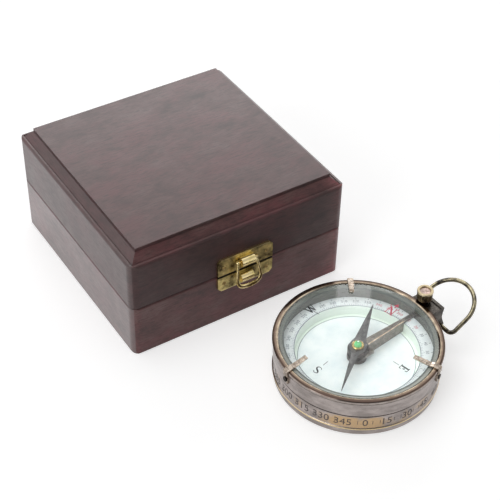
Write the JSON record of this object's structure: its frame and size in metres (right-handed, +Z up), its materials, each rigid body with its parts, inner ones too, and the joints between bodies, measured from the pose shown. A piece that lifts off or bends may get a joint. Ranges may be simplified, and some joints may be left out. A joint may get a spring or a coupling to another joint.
{
  "type": "box compass",
  "caption": "Pocket compass with a glazed round case, hinged carry ring and needle lock, beside its square hinged wooden box with a swing latch.",
  "frame": {"origin": "centre of the wooden box's underside", "axes": "+Z up; -Y is the box's front face with the latch; +X to the right seen from the front; the compass lies in front of the box, to its right"},
  "size_m": [0.1321, 0.1938, 0.0534],
  "materials": {
    "box_wood": "satin stained wood",
    "floor_wood": "plain stained wood",
    "lining": "short velvet pile",
    "box_brass": "aged brass",
    "box_nail": "aged brass",
    "bail_brass": "aged brass",
    "case_bronze": "antique bronze, satin",
    "cover_bronze": "antique bronze, satin",
    "bezel_copper": "bright copper edge",
    "clear_glass": "clear",
    "packing": "matte",
    "claw_copper": "bright copper",
    "dark_screw": "blackened",
    "dial_white": "satin enamel",
    "scale_white": "satin enamel",
    "steel": "satin",
    "lug_bronze": "dark bronze",
    "drum_bronze": "dark bronze",
    "lever_metal": "worn bronze",
    "needle_steel": "blued and worn",
    "needle_brass": "polished",
    "green_jewel": "polished",
    "stem_copper": "copper",
    "knob_bronze": "dark bronze with bright rim",
    "inlay_copper": "copper",
    "ring_bronze": "dark bronze with worn edges"
  },
  "bodies": {
    "box_base": {"base_front_wall": "box_wood", "base_back_wall": "box_wood", "base_left_wall": "box_wood", "base_right_wall": "box_wood", "base_floor": "floor_wood", "base_lining": "lining", "left_hinge_base_leaf": "box_brass", "right_hinge_base_leaf": "box_brass", "left_hinge_pin": "box_nail", "right_hinge_pin": "box_nail", "base_hinge_screws": "box_nail", "catch_plate": "box_brass", "catch_nails": "box_nail"},
    "lid": {"lid_front_wall": "box_wood", "lid_back_wall": "box_wood", "lid_left_wall": "box_wood", "lid_right_wall": "box_wood", "lid_panel": "box_wood", "lid_lining": "lining", "left_hinge_lid_leaf": "box_brass", "right_hinge_lid_leaf": "box_brass", "lid_hinge_screws": "box_nail", "latch_plate": "box_brass", "latch_nails": "box_nail"},
    "latch_bail": {"latch_bail": "bail_brass"},
    "compass": {"case_body": "case_bronze", "bottom_cover": "cover_bronze", "bezel": "bezel_copper", "glass": "clear_glass", "packing_ring": "packing", "back_claw": "claw_copper", "left_claw": "claw_copper", "front_claw": "claw_copper", "claw_screws": "dark_screw", "dial_plate": "dial_white", "scale_ring": "scale_white", "pivot_post": "steel", "fulcrum_pin": "steel", "lug": "lug_bronze", "lug_screws": "dark_screw"},
    "carry_ring": {"carry_ring": "ring_bronze"},
    "lock_lever": {"lock_lever": "lever_metal"},
    "lift_drum": {"lift_drum": "drum_bronze"},
    "needle": {"needle_blade": "needle_steel", "needle_collar": "needle_brass", "needle_jewel": "green_jewel"},
    "lock_stem": {"lock_stem": "stem_copper"},
    "lock_knob": {"lock_knob": "knob_bronze", "knob_inlay": "inlay_copper"}
  },
  "joints": [
    {"name": "lid_hinge", "type": "hinge", "parent": "box_base", "child": "lid", "pos_m": [0, 0.0504, 0.02545], "axis": [-1, 0, 0], "range_deg": [0, 95]},
    {"name": "latch_swing", "type": "hinge", "parent": "lid", "child": "latch_bail", "pos_m": [0.0013, -0.054, 0.031], "axis": [-1, 0, 0], "range_deg": [0, 160]},
    {"name": "compass_lift", "type": "slide", "parent": "box_base", "child": "compass", "axis": [0, 0, 1], "range_m": [0, 0.12]},
    {"name": "ring_swing", "type": "hinge", "parent": "compass", "child": "carry_ring", "pos_m": [0.06143, -0.10436, 0.0095], "axis": [0.061, -0.9981, 0], "range_deg": [-53, 84]},
    {"name": "lever_tilt", "type": "hinge", "parent": "compass", "child": "lock_lever", "pos_m": [0.05384, -0.10312, 0.0133], "axis": [-0.1132, 0.9936, 0], "range_deg": [0, 1.13]},
    {"name": "drum_lift", "type": "slide", "parent": "compass", "child": "lift_drum", "axis": [0, 0, 1], "range_m": [0, 0.00064]},
    {"name": "needle_spin", "type": "hinge", "parent": "lift_drum", "child": "needle", "pos_m": [0.0215, -0.1068, 0.01415], "axis": [0, 0, 1], "continuous": true},
    {"name": "stem_feed", "type": "slide", "parent": "compass", "child": "lock_stem", "axis": [0, 0, 1], "range_m": [-0.0000875, 0]},
    {"name": "knob_turn", "type": "hinge", "parent": "lock_stem", "child": "lock_knob", "pos_m": [0.05826, -0.10261, 0.0205], "axis": [0, 0, 1], "range_deg": [-90, 0]}
  ],
  "couplings": [
    {"joint": "knob_turn", "follows": "stem_feed", "rad_per_m": 17952},
    {"joint": "lever_tilt", "follows": "stem_feed", "rad_per_m": -224.72},
    {"joint": "drum_lift", "follows": "stem_feed", "ratio": -7.3143}
  ]
}
